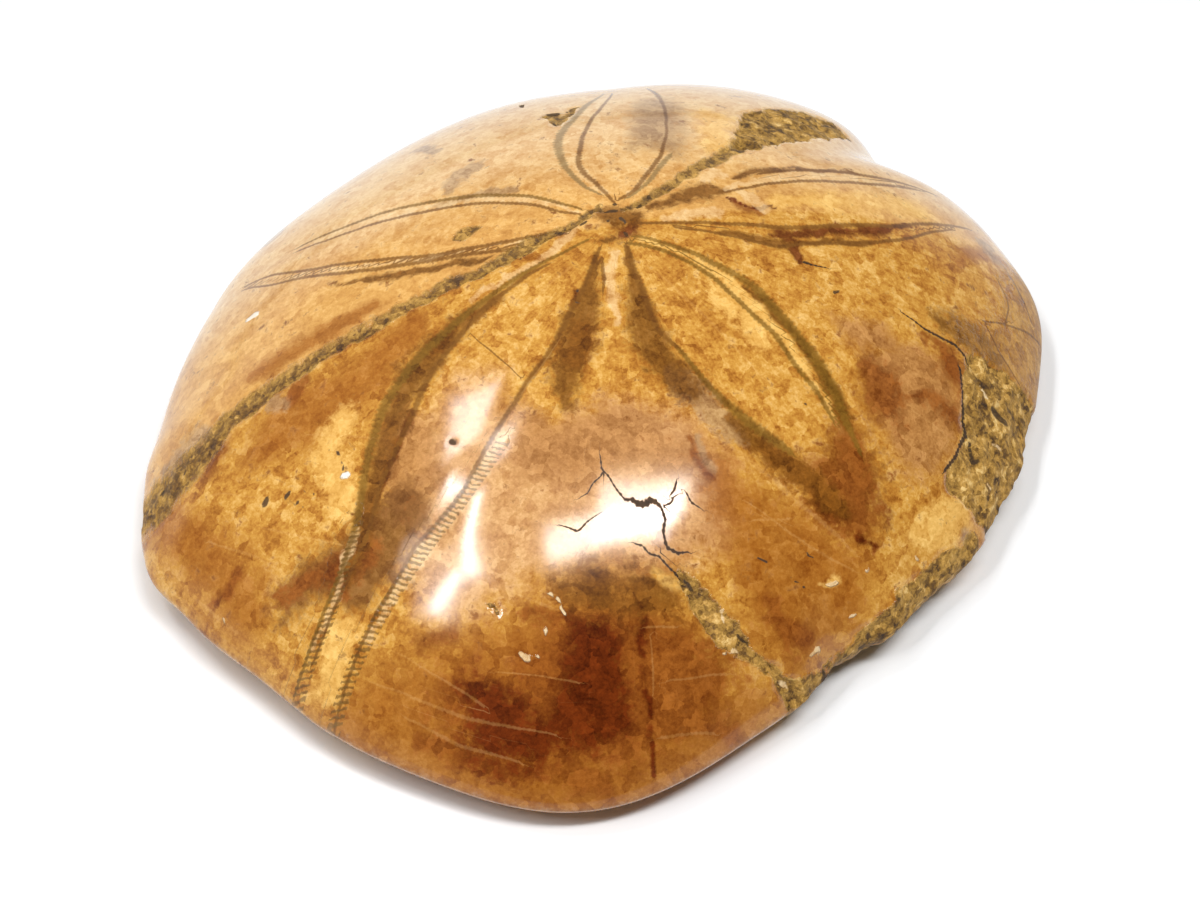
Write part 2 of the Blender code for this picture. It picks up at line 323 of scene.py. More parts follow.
# Petals: dark lines along the pore bands, cream between them
lines = {
    "olive": [
        [(1.4, -1.5, .12), (3.9, -2.3, .16), (6.4, -3.1, .2), (8.9, -4.4, .26), (11.9, -6.2, .34),
         (14.9, -9.6, .4), (16.9, -12, .42), (18.4, -14.4, .4), (19.3, -16.6, .3), (20.4, -18.6, .15)],
        [(.9, -2.4, .15), (3.4, -3, .17), (5.4, -3.9, .18), (7.9, -5.4, .2), (9.9, -7.2, .2),
         (11.9, -9.2, .2), (13.4, -10.5, .2), (14.9, -12.7, .2), (16.9, -14.8, .2), (18.2, -16.9, .1)],
        [(4.9, -12.9, .15), (6.9, -15.4, .2), (8.9, -17.3, .28), (10.9, -18.6, .3), (12.9, -19.7, .3),
         (14.4, -20.4, .2)],
        [(-2.6, -2, .1), (-5.1, -3.6, .13), (-8.1, -5.4, .2), (-10.6, -7.2, .22), (-14.1, -10.2, .3),
         (-17.1, -13, .35), (-19.6, -16.7, .32), (-20.8, -20.3, .3), (-21.5, -24.2, .25),
         (-22.2, -27.5, .2), (-23.2, -29.9, .15), (-25.3, -33.8, .12), (-26.9, -36.7, .1)],
        [(-3.3, 1.9, .1), (-5.1, 2.8, .15), (-7.6, 4.1, .17), (-10.1, 4.9, .18), (-12, 5.4, .2),
         (-16, 6, .18), (-20.1, 6.6, .17), (-25.1, 6.6, .14), (-29.2, 6.7, .1)],
    ],
    "brown": [
        [(9.8, 5.1, .12), (14.8, 7.9, .16), (19.8, 10.2, .18), (24.9, 12.9, .18), (29, 15.4, .1)],
        [(12.8, 8.5, .1), (14.8, 9.7, .14), (19.8, 12, .17), (24.9, 14.1, .17), (30.1, 16.2, .1)],
        [(1.9, 0, .12), (4.9, .2, .15), (9.9, .9, .17), (14.8, 1.6, .2), (19.9, 3.7, .2), (24.9, 6.2, .18),
         (30.1, 10, .15), (33.2, 12.4, .1)],
        [(4.9, -.3, .1), (9.9, -.6, .14), (13.8, -.8, .16), (17.9, .7, .17), (21.9, 2.4, .17), (26, 5, .15),
         (31.1, 10.1, .1)],
        [(-.4, 2.7, .12), (-1.6, 4.8, .17), (-3.1, 7.1, .2), (-3.5, 9.5, .2), (-3.1, 13.4, .18),
         (-2.3, 17.4, .16), (-1.3, 20.5, .14), (-.4, 24.8, .1)],
        [(.2, 3.1, .12), (1.4, 4.3, .16), (2.3, 6, .18), (3.3, 8.1, .18), (3.9, 10, .15), (4.3, 12.5, .12),
         (4.5, 16, .12), (4.3, 20.5, .14), (3.8, 23.7, .2), (3, 26.5, .12)],
        [(-3.3, 1.2, .1), (-5.1, 1.7, .14), (-7.6, 3, .16), (-10.1, 3.7, .17), (-12.1, 4.3, .17),
         (-16, 4.7, .17), (-20.1, 5.1, .16), (-25.1, 5.4, .14), (-29.2, 6, .1)],
        [(-4.1, -.4, .1), (-7.1, -1.1, .15), (-12.1, -1.6, .18), (-16.1, -1.6, .18), (-20.1, -.7, .17),
         (-24.1, .6, .16), (-28.2, 2, .15), (-31.3, 3.9, .12), (-34.4, 5.1, .1)],
        [(-4.6, -1.1, .1), (-7.1, -1.8, .15), (-10.1, -2.4, .18), (-16.1, -2.2, .2), (-20.1, -1.8, .2),
         (-24.1, -.7, .18), (-28.2, 1, .15), (-31.3, 2.3, .12), (-34.4, 4.5, .1)],
        [(-6.1, -4.7, .1), (-8.1, -5.9, .16), (-11.1, -8.5, .2), (-13.1, -10.9, .2), (-15.6, -14.2, .22),
         (-17.1, -17.6, .22), (-18.6, -20.9, .2), (-19.9, -23.8, .18), (-20.8, -27.1, .15),
         (-22.8, -30.9, .12), (-25.3, -35.4, .1)],
        [(-1.6, -3, .12), (-2.3, -5.1, .17), (-3.1, -7.5, .2), (-4.4, -10.5, .22), (-5.4, -12.9, .22),
         (-7.3, -15.8, .2), (-9.3, -19, .18), (-11.1, -22, .17), (-13.4, -25.8, .16), (-16.7, -29, .15),
         (-18.7, -31.8, .14), (-20.3, -33.8, .12), (-22.3, -37.3, .12), (-23.6, -40, .1)],
        [(-1.4, -4.2, .1), (-1.3, -6.5, .14), (-1.4, -8, .05)],
        [(.7, -2.7, .2), (1.1, -4.6, .25), (1.9, -7.1, .22), (3.1, -11, .2), (4.9, -12.9, .15)],
        [(-12.6, -11.2, .03), (-10.6, -13.4, .06), (-8.1, -16.1, .03)],
        [(36.4, 9, .06), (37.6, 6.5, .1), (38.6, 4, .06)],
        [(33, -.6, .05), (35.4, .8, .08), (38.6, 2.4, .1), (39.6, 2.6, .06)],
        [(33.2, -.8, .05), (34.6, -3, .08), (36.6, -4.7, .06)],
        [(35.4, .8, .05), (36, 3.6, .07), (35, 6, .05)],
    ],
    "grey": [
        [(-1.6, 3.8, .1), (-3.1, 5.2, .17), (-4.6, 7.9, .25), (-5.4, 11.5, .3), (-5.1, 14.5, .3),
         (-3.9, 18, .25), (-2.6, 21.6, .2), (-1.3, 24.8, .1)],
        [(.9, 3.3, .1), (2.7, 5.5, .17), (3.7, 7.7, .2), (4.6, 9.6, .2)],
    ],
    "pale": [
        [(6.9, -19.6, .1), (11.9, -22.4, .2), (15, -24, .18), (20, -26.4, .1)],
        [(18.9, -13, .08), (20.4, -15.3, .15), (22, -17.6, .15), (23, -19, .08)],
        [(-20.3, -37.8, .05), (-12.2, -41.2, .09), (-5.1, -42.7, .05)],
        [(-.3, -3, .2), (-.5, -6, .22), (-.1, -10, .1)],
        [(-4.1, -5.1, .1), (-6.1, -7.1, .14), (-8.1, -9.5, .08)],
        [(2.4, -4.8, .06), (6, -8.4, .12), (12.2, -14.8, .08)],
        [(-34.8, -24.1, .05), (-31, -26.4, .1), (-27.4, -28.9, .05)],
        [(-35.9, -27.9, .08), (-32.2, -31.3, .1)],
        [(-29.9, -24.6, .05), (-26, -26.4, .09), (-22.8, -27.7, .04)],
        [(-26.4, -17.8, .05), (-21, -19.4, .08)],
        [(-17.6, -40.4, .05), (-13.1, -42.6, .1), (-7.9, -44.3, .06)],
        [(3.3, -42.2, .08), (7.9, -40.9, .06)], [(2.2, -35.3, .06), (4.5, -35, .07)],
        [(-9, -33.1, .05), (-5.4, -34.3, .09)], [(-18, -36.4, .05), (-11, -40.6, .08)],
        [(-10, -38.4, .04), (-3.4, -39.4, .06)], [(4, -38.6, .05), (9, -37.2, .07)],
        [(2.5, -36, .05), (2.8, -39.4, .08)], [(-5, -12.6, .05), (-8, -17.2, .07)],
        [(10.4, -25, .05), (14.8, -26.6, .09), (19.8, -27.6, .06)], [(11, -26.4, .05), (14.2, -25.4, .07)],
        [(25.4, -13.6, .06), (28.6, -14.6, .08), (27, -17, .05)],
        [(-38, -21, .05), (-34.6, -20.4, .07), (-31, -21.8, .04)],
    ],
    "crack": [
        [(-1.6, -22.8, .04), (-1.5, -23.9, .07), (-.9, -24.4, .06), (-.3, -25.4, .07), (.3, -26.1, .08)],
        [(-1.3, -24.2, .04), (-2.2, -25, .05), (-2.6, -25.8, .04), (-3.3, -26.2, .03)],
        [(-4.9, -28.3, .03), (-4.2, -28.5, .05), (-3.4, -28.8, .06), (-2.7, -28.1, .05),
         (-1.6, -27.4, .03)],
        [(.5, -26.3, .1), (1, -26.2, .16), (1.5, -26.5, .2), (2.1, -26.4, .24), (2.7, -26.1, .2),
         (3.5, -26.5, .1)],
        [(3.5, -26.6, .09), (3.8, -27.5, .08), (3.6, -28.4, .09), (3.8, -29.5, .1), (4.7, -29.8, .1),
         (5.6, -29.6, .04)],
        [(1.2, -29.5, .04), (1.9, -29.6, .08), (2.4, -30.1, .07), (3.2, -30.2, .08), (4, -30.9, .08),
         (4.8, -31.4, .1)],
        [(4.7, -24.5, .06), (4.6, -25.1, .07), (4.2, -25.6, .04)],
        [(3.6, -26.5, .05), (4.3, -26.1, .06), (4.6, -25.6, .04)],
        [(5.6, -25.2, .05), (5.9, -25.9, .07), (6.9, -26.3, .03)],
        [(16.3, -2.2, .08), (17.2, -2.2, .08), (18.4, -2, .04)],
        [(24.9, -4.2, .05), (27, -5, .1), (30, -5.1, .12), (31.1, -5.9, .12)],
        [(30.2, -7.3, .08), (30.4, -9.7, .12), (30.4, -13.3, .14), (29.3, -15.6, .1), (28.2, -17.4, .1)],
    ],
}

# Patches: soft stains, fills and bands, one list of runs to a colour
patches = {
    "cream": [  # bands between the two lines of a pore row, and pale flecks
        [(-3.3, 1.6, .2), (-7.6, 3.6, .4), (-12, 4.9, .45), (-20, 5.8, .45), (-28, 6.2, .4)],
        [(-8, -1.7, .15), (-16, -1.9, .2), (-22, -.8, .3), (-30, 2.4, .3)],
        [(9.6, 5.4, .3), (14.8, 8.7, .6), (20, 11, .6), (26, 13.7, .5)],
        [(-1, 3.6, .3), (-3.2, 6.5, .5), (-4.2, 9.5, .6), (-4.1, 12, .5), (-3.2, 17.5, .5),
         (-1.8, 22.5, .4)],
        [(.8, 3.6, .2), (2.4, 5.8, .3), (3.7, 8.2, .45), (4.3, 10, .4)],
        [(7.6, 6.6, .5), (8.4, 7.2, .9), (9.3, 7.6, .6)], [(4, .9, .4), (6.5, 1.4, .7), (8.6, 2, .7)],
        [(10.5, 5.6, .3), (12, 4.3, .5), (13, 3.4, .5)],
        [(-.5, -3.5, .35), (-.8, -6, .5), (-.4, -9, .45), (-.1, -11, .3)],
        [(-9.3, -20.3, .4), (-13, -25.8, .5), (-16, -29.5, .5), (-18.9, -32.7, .4), (-20.6, -35, .3)],
        [(-22, -27, .3), (-23.9, -32.5, .4), (-25.2, -34.5, .3)],
        [(-4, -1, .5), (-6, -3.2, .4), (-10, -6, .3), (-12.5, -7.8, .3)],
    ],
    "golden": [
        [(1.9, -1.8, .2), (4.9, -2.9, .3), (7.9, -4.6, .45), (10.4, -6.6, .5), (12.9, -9.2, .5),
         (14.9, -11.8, .5), (17.3, -15.2, .4), (19, -17.7, .2)],
        [(27.5, -21.7, 1.3), (29.6, -19.8, 1.1)], [(26.5, -22.3, 1), (25.3, -23.3, .7)],
        [(-23, -34.5, 1.4), (-24, -37.2, 1.2)], [(-22.8, -24.4, 1.2), (-24.4, -20, 1.3), (-23, -17, 1)],
        [(9, 12.5, 1.5), (8.8, 18, 1.6)], [(9, -6.8, 1), (12, -11, 1.2)],
        [(14, 4.6, .8), (22, 8, 1.5), (28, 10.6, 1.2)], [(17, -29, .25), (18.4, -28.4, .35)],
        [(2.8, -31.6, .5), (4.4, -32.2, .4)],
    ],
    "orange": [  # deeper, redder amber
        [(-19, -41.6, 1.6), (-12, -43.6, 1.6)], [(-31, -30, 2), (-36, -24, 2), (-39.5, -20.5, 1.5)],
        [(-28, -17, 2), (-22, -14, 2.4), (-17.5, -9.5, 1.2)],
        [(-32, -9.6, .9), (-26, -7.9, 1.2), (-21, -6.2, .7)], [(31, 5, .6), (33, 8, .9), (36, 10, .7)],
    ],
    "sienna": [
        [(26.8, -5.6, .3), (29.6, -6.2, .3)], [(18.8, -17.3, .8), (20.8, -20.8, 1.6), (20, -23.8, 1.4)],
        [(14, -21.4, .9), (17, -22.6, 1.7), (19, -24, 1.4)], [(-16, -36, .7), (-13.5, -35.6, .8)],
        [(-16.6, -42, .6), (-9, -44.4, .7), (-1, -45.5, .7)], [(5, -41, .9), (9.5, -40.4, .7)],
        [(-7.6, -34.4, .6), (-5, -35.3, .5)],
        [(-28.4, -30.3, .6), (-25.4, -29.6, .9), (-22.8, -29.6, 1.1), (-20.8, -28.6, .9)],
        [(-22.9, -29, .8), (-23.1, -31.4, .6)], [(-27, -12.4, .6), (-27.6, -14, .6)],
        [(-34.4, -16, .8), (-35, -18, .7)], [(-2.9, -11.8, 1), (-3.6, -14.4, 1)],
        [(-31.7, -27.2, .5), (-34, -29, .5)], [(10.6, 3.4, .5), (12.4, 2.8, .5)],
        [(-12.6, -9.2, .4), (-16, -12, .7)], [(21.2, -11.4, .9), (22, -13, 1.3), (22.8, -14.2, .9)],
        [(25.4, -12.1, .3), (27.4, -11.6, .6), (29.6, -12.2, .5)], [(28.7, -6.9, .4), (29.7, -7.6, .9)],
        [(12.6, -31.7, .6), (13.8, -33.2, 1.3), (15.6, -32.8, .7)], [(5.3, -37.2, .5), (8.2, -37.7, .6)],
        [(5.8, -21.4, .4), (7.4, -23.6, .5)],
    ],
    "rust": [
        [(-2.2, -35.6, 1), (-2, -38.8, 1.5), (-2.6, -42, 1)],
        [(1.5, -32.8, .1), (1.9, -35.2, .26), (2.1, -38.4, .22), (2.4, -41.2, .26), (2.9, -44.6, .12)],
        [(-15.4, -11.4, .5), (-14.8, -12.6, .4)],
        [(-17, -17.7, .25), (-18.6, -21.2, .3), (-20, -24.6, .25)],
        [(15.2, .1, .8), (15.6, -1.2, .6), (16.1, -2.2, .2)],
        [(14, .6, .35), (18, 2.1, .6), (22, 4, .6), (25, 6, .3), (27, 7.4, .1)],
        [(9.4, 4.1, .12), (12.4, 3.3, .16), (14.4, 4.5, .05)], [(.5, -1.2, .8), (.9, -.1, .7)],
        [(-3.4, -7.6, .4), (-3.5, -9, .35)], [(16.8, -23.4, .5), (18.2, -23.9, .6)],
        [(20.4, -25.4, .5), (21.4, -25.3, .3)],
    ],
    "umber": [  # olive brown fills beside the pore rows
        [(-10, -7.6, .4), (-12.6, -9.6, .8), (-15.6, -12.2, 1.3), (-17.7, -15.4, 1.3), (-19.1, -19.6, 1.1),
         (-20.4, -23.8, .9), (-21.3, -27.4, .7), (-22.6, -31, .4)],
        [(-1.8, -3.6, .2), (-2.2, -5.8, .5), (-2.5, -8.4, .8), (-3.3, -12, 1.4), (-4.4, -16, 1.2),
         (-4.4, -18.4, .7)],
        [(.6, -3, .2), (1.2, -6, .5), (1.6, -9, .9), (2.4, -12, 1.4), (3.8, -14.6, 1.1), (6, -16.8, .8)],
        [(2.6, 1.9, .3), (5, 3.3, .6), (7.2, 4.5, .9), (9.6, 5.2, .4)],
        [(10.5, -5.8, .2), (13, -7.7, .4), (15.6, -10.7, .5), (17.8, -13.4, .6), (19.4, -16.6, .7)],
        [(9, -.3, .3), (12.4, -.5, .5), (14.4, -.4, .5)], [(15, -.2, .3), (19, 1.1, .35), (22.4, 2.7, .3)],
        [(10.4, 7.4, .3), (12.6, 8.9, .5), (16, 10.5, .35), (22, 13, .25)],
        [(9.4, -18.6, .5), (12.6, -20.8, 1), (15.6, -22.2, 1.1), (18.4, -23.4, .8)],
        [(-25, -1.9, .2), (-20, -3, .4), (-15, -3.3, .35), (-11, -3, .2)],
        [(-2.4, -32.6, 1.6), (-1, -33.6, 1)], [(1.2, -31.9, .4), (3.6, -32.8, .5)],
        [(-1.6, 1.1, .7), (-.3, .9, .9), (1, .8, .8)], [(-.3, -1.8, .3), (-2, -2.4, .2)],
    ],
    "mauve": [  # grey, slightly violet clouds
        [(-16, 5.6, .5), (-13, 5.7, .6), (-9, 5.4, .4)],
        [(-15.2, 7, .5), (-14.4, 9.4, .9), (-12.8, 10.8, .6)], [(-18.4, 18.4, .9), (-16.8, 16.5, .5)],
        [(-29.6, -13.6, .8), (-28.6, -14.2, .7)],
        [(4, -15, .5), (6.2, -17, 1.1), (8.4, -18.8, 1.1), (10.6, -20.2, .5)],
        [(6.4, -20.8, .4), (7.6, -23, .5)], [(-37, -13.4, 1.3), (-39.6, -15, 1.2)],
        [(30.2, -21, .5), (31.2, -21.6, .4)], [(-32.5, 12.6, .8), (-32.4, 15.2, .9)],
        [(34.6, 11, 1), (35.6, 9, .6)],
    ],
    "chips": [  # cream chips, where the surface has flaked
        [(-8.1, -37.3, .13), (-7.3, -37.7, .2), (-6.6, -37.6, .1)], [(-5.6, -38.3, .16), (-5, -38.5, .12)],
        [(-6, -35.7, .2)], [(-5.6, -33.2, .1), (-4.8, -33.6, .12), (-4.1, -34.8, .12)],
        [(20.8, -27.2, .2)], [(8.6, -35.9, .14), (9.4, -35.8, .2)], [(14, -36.2, .3)], [(6.4, -9.2, .14)],
        [(-9.6, 22.2, .1)], [(-33.3, -30.6, .15)], [(-11.8, 10.2, .15)],
        [(17.4, -28.9, .14), (18.4, -28.6, .16)], [(21.6, -28.6, .12)],
        [(19.4, -30.4, .14), (20, -30, .1)], [(25.6, -24.9, .12), (26.2, -24.7, .14)],
        [(15.9, -34.1, .12), (16.6, -33.6, .14)], [(32.4, -7.6, .16), (33, -8, .2)], [(31.6, -11.2, .14)],
        [(33.8, -11.8, .2), (34.2, -12.3, .16)], [(32.8, -16, .16)], [(8.2, -33.4, .12), (8.9, -34, .1)],
    ],
    # small near-white flecks
    "white flecks": [
        [(-33.2, -1.3, .3), (-32.6, -1.2, .42)], [(-23.1, -22.2, .24), (-22.7, -22.2, .28)],
        [(-30.5, -20.8, .14)],
    ],
    "pit": [  # small dark holes
        [(-29.9, -22.7, .28), (-29.7, -22.3, .22)], [(-28.1, -22.6, .18), (-27.7, -22.4, .2)],
        [(-27.8, -23.1, .18)], [(-27, -23.4, .2), (-27.4, -23.5, .12)], [(-26.4, -22.7, .17)],
        [(-26.5, -24, .16)], [(-25.5, -23.1, .14)], [(-36.1, -26, .1)],
        [(18.8, -4.6, .2), (19.2, -4.3, .12)], [(15.6, -27.4, .12), (16.2, -27.6, .08)],
        [(15.8, -16.1, .16)], [(-13.9, -21, .3), (-13.6, -21.1, .24)],
        [(-6.5, -38, .13), (-6.4, -38.2, .1)], [(-.3, 2.3, .25)], [(-.2, 1.5, .22), (-1.2, 1.3, .14)],
        [(-3.3, -.1, .2), (-2.8, .2, .14)], [(2.7, 3.5, .3)], [(2.1, 2.6, .16), (1.6, 1.9, .16)],
        [(-.9, .3, .2)], [(.2, .6, .2), (.6, .2, .14)], [(.6, -.9, .2), (.8, -1.6, .12)],
        [(-9, -3.3, .22)], [(-8.4, -3.7, .12)], [(-11, -4, .14)], [(-15.4, -6.2, .2)], [(-3.5, -7.6, .25)],
        [(-3.5, -8.9, .2)], [(-40, -17.1, .3)], [(-37.9, -16.5, .16)], [(-9.1, 24.4, .3), (-9, 23.4, .2)],
        [(20.4, 24.2, .4)], [(18.4, 23.8, .3)], [(17.9, 22.4, .25)], [(22.5, 23.9, .3)], [(7.2, -8.7, .1)],
        [(16.2, -2, .16), (16.9, -2.3, .14)], [(-15.6, -8.4, .1)], [(-6.5, 19.3, .2), (-5.6, 19.2, .3)],
        [(-4.7, 19.4, .2)], [(-24.4, -19.6, .08), (-23.2, -20.4, .1)],
        [(-23.5, -21, .09), (-23, -21.1, .09)], [(-5.9, 17, .2), (-5.5, 16.3, .16)],
        [(-23.4, -21.5, .08), (-23, -21.6, .08)], [(5.9, -14.3, .1)], [(33.8, -9, .4), (34.6, -9.4, .4)],
        [(30.9, -13.6, .16), (31.3, -15, .2), (31.8, -14.6, .16)], [(11.3, -29, .08), (12.2, -29.1, .06)],
        [(14.2, -29.6, .08), (15.4, -29.8, .06)], [(17.2, -34.2, .2)], [(5.4, -31.6, .14), (6, -32.2, .2)],
        [(6.8, -33.2, .16)], [(9.8, -34.6, .16), (10.8, -35, .12)],
    ],
    "seam": [  # olive rock in the healed cracks
        [(-2.4, .8, .2), (-3.6, -.1, .35), (-6.1, -1.2, .45), (-8.1, -2.5, .6), (-10.1, -3.7, .65),
         (-15.1, -5.9, .6), (-20.1, -8.1, .65), (-25.2, -10, .75), (-28.4, -11.4, .9), (-31.4, -12.5, 1),
         (-34.4, -14, 1.2), (-37, -16.2, 1.8), (-40.4, -18, 2.1)],
        [(-3.2, .7, .35), (-2, 1.7, .3), (-1.5, 1.4, .2)], [(-1.9, 2.2, .22), (-1.7, 1.6, .2)],
        [(.6, 1.6, .25), (1.6, 2.2, .35), (2.8, 3.4, .45), (4.4, 4.9, .45), (6.3, 7.2, .55), (8.3, 9.4, .7),
         (10.2, 11.6, .8), (11.6, 13.4, .8)],
        [(-14.4, .2, .35), (-13.4, .5, .65), (-12.5, .8, .4)],
        [(-6.4, 18.6, .4), (-5.8, 18.4, .8), (-5.4, 17.2, .5)],
        [(-5.6, 16.4, .35), (-4.7, 17.6, .25), (-4.4, 19.4, .35), (-3.6, 21, .12)],
        [(-10.8, -33.8, .08), (-9.2, -35, .05)],
    ],
}
rockPatches = {
    "back": [
        (10.9, 12.6), (10.8, 14.4), (11.2, 16.7), (11.8, 19.9), (13.4, 21.5), (15.3, 23.4), (18, 24.9),
        (21, 26), (22.6, 24.6), (21, 21.8), (19, 19.1), (16.9, 16.7), (14.8, 14.8), (12.4, 12.6),
    ],
    "rim": [
        (31.3, -5.2), (32.2, -4.9), (36.4, -4.6), (41, -5.5), (42, -9), (40, -14), (38, -18),
        (34.5, -20.5), (31, -19.2), (28.2, -18.5), (28.4, -17.2), (29.9, -14.5), (30.3, -11.8),
        (30.4, -8.6),
    ],
    "break": [
        (4.6, -31), (6.4, -31.6), (8, -32.8), (9.8, -33.9), (11, -35), (13.4, -35.9), (15.2, -36.6),
        (14.4, -37.6), (12.4, -36.4), (10, -35.9), (8, -35.6), (6.6, -34.4), (5.6, -33.2), (5, -32),
    ],
    "margin": [
        (31, -20.4), (28.6, -22.8), (26.4, -24.8), (24.2, -27.2), (22.4, -29.2), (20.2, -31),
        (18.4, -32.6), (17, -34.2), (15.2, -35.6), (13.6, -36.8), (15, -41), (26, -36), (34, -24),
    ],
}
# Broad soft areas as closed outlines: blur, corners
lands = {
    "tint and painted haze": [  # duller, rosy amber across the front of the dome, round the main highlight: partly the test's own colour, partly a painted reflection haze
        (2.5, [(-16.5, -20), (-13.5, -15), (-10, -15.5), (-10, -19), (-6, -20.5), (0, -18), (6, -19),
            (9, -23), (9.5, -28), (5, -31), (-4, -31.5), (-9, -33), (-14, -35), (-16.5, -32), (-17, -27)]),
    ],
    "rose": [
        (2, [(20.6, -9.5), (24.6, -7.6), (30, -6.4), (30.2, -12), (29.4, -15.4), (27.2, -18.4), (24, -19),
            (22, -15.5)]),
        (2, [(-9, -18.6), (-5, -20), (-1.5, -18.4), (2, -19.4), (5, -21.4), (8.6, -21.6), (8.4, -25),
            (2, -23.6), (-4, -25), (-8, -24)]),
        (1.5, [(23.4, -13), (26.4, -12.6), (29.6, -13.6), (28.4, -17), (25.6, -17.6), (24, -15.6)]),
        (1.5, [(18.4, -7), (23, -6), (25, -8), (23.6, -9.6), (19.6, -9.6)]),
        (1.5, [(-19.6, -19), (-17, -17.4), (-15.4, -19.4), (-14.6, -23), (-15.6, -26), (-18.4, -27),
            (-20, -23.6)]),
    ],
    "orange": [
        # the broad front-lower area: deeper amber, partly the test's own colour and partly painted shade
        # darkening toward the front bottom
        (3, [(-25, -39.5), (-20, -37), (-14, -36.4), (-8, -34.4), (-3, -31.4), (3, -32), (6, -33.8),
            (10, -36.6), (14, -37.4), (12, -44), (4, -50), (-8, -50), (-20, -48)]),
        (1.6, [(9.8, -24.6), (15, -26), (20.6, -27.4), (21, -29.4), (18, -32.8), (14.5, -35.4), (10.8, -33),
            (8.8, -29)]),
        (2, [(-30, -13), (-24, -13), (-26, -19), (-32, -19)]),
        (2, [(27.4, -6.2), (30.4, -5.8), (30.4, -9.8), (28.6, -9.2)]),
        (2.5, [(10, -33), (14, -31), (18, -31.5), (17, -33), (14, -35.4), (11, -35)]),
        (2.5, [(6.5, -21), (9.8, -22.6), (15.5, -24.4), (21, -26), (20.6, -29), (14, -30), (9, -29),
            (6.6, -25)]),
    ],
    "dusk": [  # brown, slightly violet smudges
        (1.6, [(-29, -30), (-26.4, -28), (-23.6, -27.6), (-20.6, -25.4), (-17.6, -23.8), (-15.4, -25),
            (-16, -28), (-18.8, -31.2), (-21.6, -32.6), (-24.4, -31.6), (-28, -31.4)]),
        (2.6, [(19, -18.4), (21.6, -19), (22.4, -22), (20, -23.8), (17, -22.8), (18.4, -20.6)]),
    ],
    "stain": [
        (1.6, [(1.2, 10.4), (3.4, 11), (5.4, 9.6), (6.2, 12), (6.2, 17), (6, 20), (4.6, 22.5), (2.6, 22),
            (1.4, 19), (1.2, 14)]),
    ],
    "sienna": [
        (1.5, [(18.2, -15.6), (20.4, -16), (21.6, -18), (22.3, -21.4), (21.8, -25.2), (20.2, -26),
            (17, -24.8), (13.6, -22.8), (10.6, -20.8), (12, -19.9), (14.6, -20.6), (17.2, -19.6),
            (18.3, -17.4)]),
        (1.6, [(20.2, -12.2), (21.6, -10.2), (23.4, -10.6), (23.8, -12), (25.8, -12), (27.6, -10.9),
            (29.9, -11.2), (29.8, -13), (27, -12.6), (24.8, -13.2), (24, -15.4), (22.2, -15.6),
            (20.8, -14.6)]),
        (1, [(27.6, -5.4), (30.6, -6), (30.2, -9.6), (28.6, -8.6)]),
        (2, [(-17, -40.4), (-13, -38), (-5, -39), (-1, -42), (-3, -45.6), (-11, -44.4)]),
        (2, [(-7, -36.6), (-4.6, -34), (3.4, -34), (9.6, -36.4), (8, -40.4), (1.4, -44.4), (-8, -45.4),
            (-14, -43.4), (-10, -40)]),
    ],
    "rust": [
        (1.8, [(-13, -40.6), (-7, -41), (-3, -43.2), (-7.6, -44.8), (-12.4, -43.6)]),
        (1.6, [(-4.4, -34.6), (-.4, -34.4), (.6, -39), (1, -42), (-2.6, -43.6), (-6.8, -42.6),
            (-4.6, -39.4)]),
        (1.6, [(-13.2, -39.2), (-10.4, -38.9), (-7, -40.4), (-7.6, -42.8), (-12, -42)]),
    ],
    "umber": [
        (1.2, [(27.6, -3), (30.6, -1.6), (33.4, -2), (35, -4.6), (31.6, -4.7), (29, -4.2)]),
        (2.5, [(-5, -32.4), (-1, -31.8), (4, -32.2), (5, -34), (0, -34.6), (-4, -34.2)]),
    ],
    "olive rim": [  # where the polish fades into dull, olive brown
        (3, [(30, -2.6), (33, -1), (35.4, 3), (36, 7), (38, 11), (46, 12), (46, -5), (38, -5.4),
            (31, -5.2)]),
    ],
}
tickRows = [
    [(-9.6, -21.4, .6), (-13, -25.9, .6), (-16.2, -29.5, .6), (-18.9, -32.7, .62), (-21.6, -36.3, .65),
     (-23.6, -39.8, .7)],
    [(-21.6, -26.2, .4), (-22.7, -29.2, .5), (-23.9, -32.5, .6), (-25.2, -34.6, .65), (-26.9, -37.6, .7)],
]

porePitch = 0.43  # pore pairs along a row, in millimetres
tickLean = 0.35  # how far the ticks lean along the row
tickReach = 1.6

wobbles = {"line": wobble(3.0, 0.1, 1.0), "patch": wobble(2.2, 0.5, 5.0), "rock": wobble(1.4, 0.35, 9.0)}
teeth = {"away": np.full(len(plan), 1e3), "along": np.zeros(len(plan))}  # distance along the nearest line
fields = {name: lineField(runs, wobbles["line"], teeth, name == "crack") for name, runs in lines.items()}
fields["teeth"] = teeth["along"]
for name, runs in patches.items():
    fields[name] = patchField(runs, plan if name in ("white flecks", "pit") else wobbles["patch"])
for name, outlines in lands.items():
    for blur, corners in outlines:
        land = insideField(corners, wobbles["patch"], blur)
        fields[name] = np.maximum(fields.get(name, 0), land)
rockBank = 0.5  # width over which the polished skin gives way to rock
rock = {name: insideField(corners, wobbles["rock"], rockBank) for name, corners in rockPatches.items()}
fields["rock"] = np.maximum.reduce(list(rock.values()))
fields["tickAcross"] = np.full(len(plan), 9.0)  # in half widths of the row
fields["tickAlong"] = np.zeros(len(plan))
for row in tickRows:
    near, signed, along, width = toRun(plan, smoothRun(row), tickReach)
    close = np.abs(signed) < tickReach
    fields["tickAcross"][near[close]] = (signed / width)[close]
    fields["tickAlong"][near[close]] = (along + tickLean * signed)[close]
